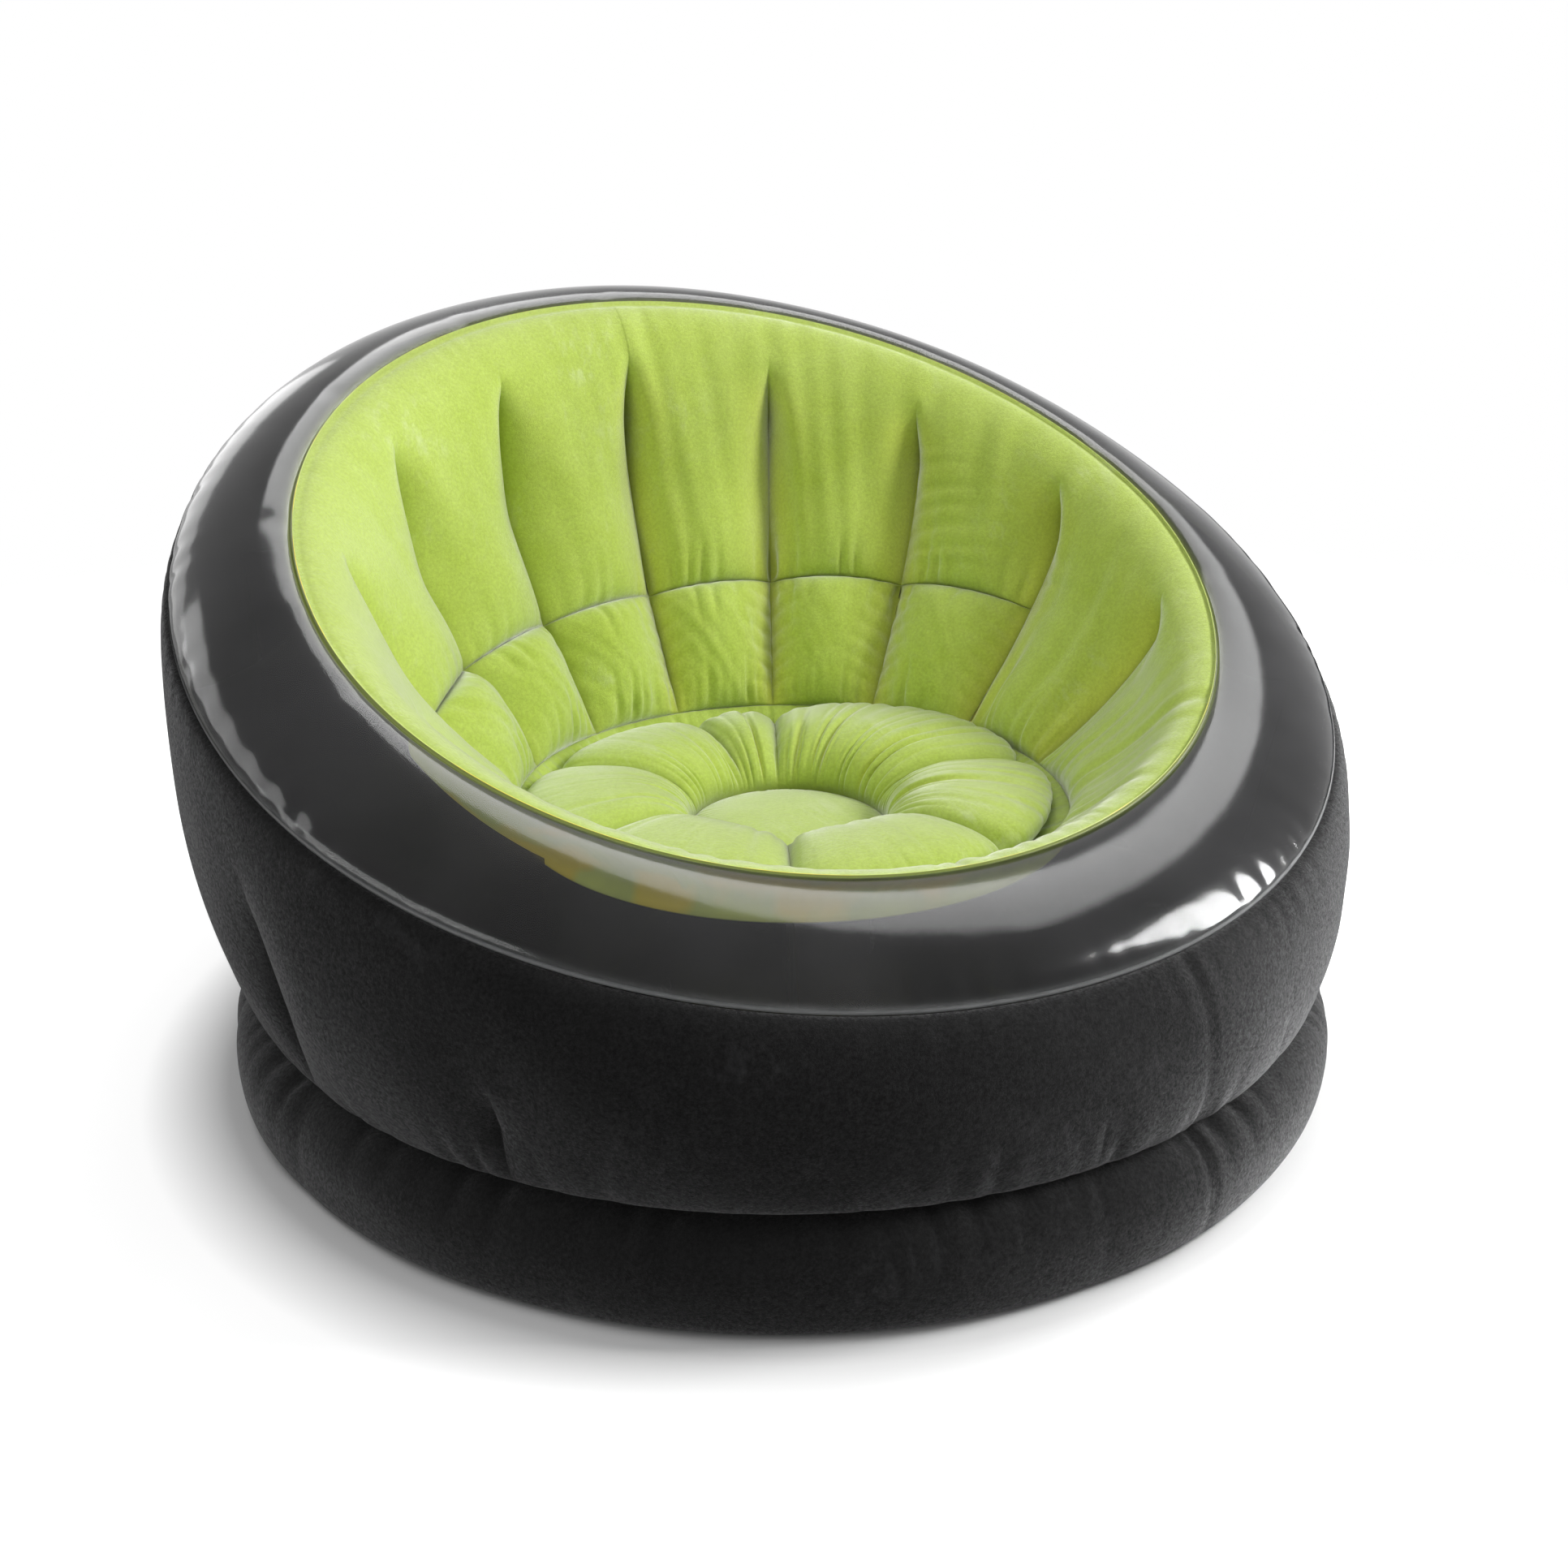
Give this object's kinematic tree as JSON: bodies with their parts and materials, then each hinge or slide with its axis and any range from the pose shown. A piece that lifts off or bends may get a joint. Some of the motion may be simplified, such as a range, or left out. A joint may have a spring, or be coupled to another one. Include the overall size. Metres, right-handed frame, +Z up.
{
  "type": "inflatable chair",
  "caption": "Round inflatable bucket chair: ring-shaped base, drum with a slanted top, rolled clear rim, and a bowl with upright channels, a ring seat cushion and a side air valve.",
  "frame": {"origin": "centre of the base on the floor, at the bottom centre of the bounding box", "axes": "+Z up, the chair faces -Y with its high back at +Y, +X is at the left hand of someone who sits in it"},
  "size_m": [1.1198, 1.0847, 0.6913],
  "materials": {
    "black_flock": "black flocked vinyl, matt",
    "lime_flock": "lime green flocked vinyl, matt",
    "clear_vinyl": "glossy see-through smoke grey vinyl",
    "web_vinyl": "plain translucent vinyl",
    "valve_vinyl": "moulded soft vinyl, satin",
    "stopper_vinyl": "moulded soft vinyl, satin",
    "flap_vinyl": "thin soft clear vinyl"
  },
  "bodies": {
    "chair": {"bottom_panel": "black_flock", "base_side_panel": "black_flock", "drum_side_panel": "black_flock", "cup_wall_panel": "lime_flock", "lumbar_panel": "lime_flock", "foot_band_panel": "lime_flock", "seat_ring_panel": "lime_flock", "seat_centre_panel": "lime_flock", "rim_panel": "clear_vinyl", "waist_diaphragm": "web_vinyl", "wall_web_01": "web_vinyl", "wall_web_02": "web_vinyl", "wall_web_03": "web_vinyl", "wall_web_04": "web_vinyl", "wall_web_05": "web_vinyl", "wall_web_06": "web_vinyl", "wall_web_07": "web_vinyl", "wall_web_08": "web_vinyl", "wall_web_09": "web_vinyl", "wall_web_10": "web_vinyl", "wall_web_11": "web_vinyl", "wall_web_12": "web_vinyl", "wall_web_13": "web_vinyl", "wall_web_14": "web_vinyl", "seat_web_01": "web_vinyl", "seat_web_02": "web_vinyl", "seat_web_03": "web_vinyl", "seat_web_04": "web_vinyl", "seat_web_05": "web_vinyl", "seat_web_06": "web_vinyl", "seat_web_07": "web_vinyl", "base_web_01": "web_vinyl", "base_web_02": "web_vinyl", "base_web_03": "web_vinyl", "base_web_04": "web_vinyl", "base_web_05": "web_vinyl", "base_web_06": "web_vinyl", "base_web_07": "web_vinyl", "seat_core_web": "web_vinyl", "valve_body": "valve_vinyl"},
    "stopper": {"valve_stopper": "stopper_vinyl"},
    "cap": {"valve_cap": "stopper_vinyl"},
    "flap": {"valve_flap": "flap_vinyl"}
  },
  "joints": [
    {"name": "stopper_hinge", "type": "hinge", "parent": "chair", "child": "stopper", "pos_m": [0.55031, 0, 0.24156], "axis": [0, -1, 0], "range_deg": [0, 150]},
    {"name": "cap_hinge", "type": "hinge", "parent": "stopper", "child": "cap", "pos_m": [0.54453, 0, 0.19963], "axis": [0, 1, 0], "range_deg": [0, 150]},
    {"name": "flap_hinge", "type": "hinge", "parent": "stopper", "child": "flap", "pos_m": [0.54061, 0, 0.22782], "axis": [0, 1, 0], "range_deg": [0, 50], "stiffness_Nm_per_rad": 0.0005, "springref_deg": -2.86}
  ]
}
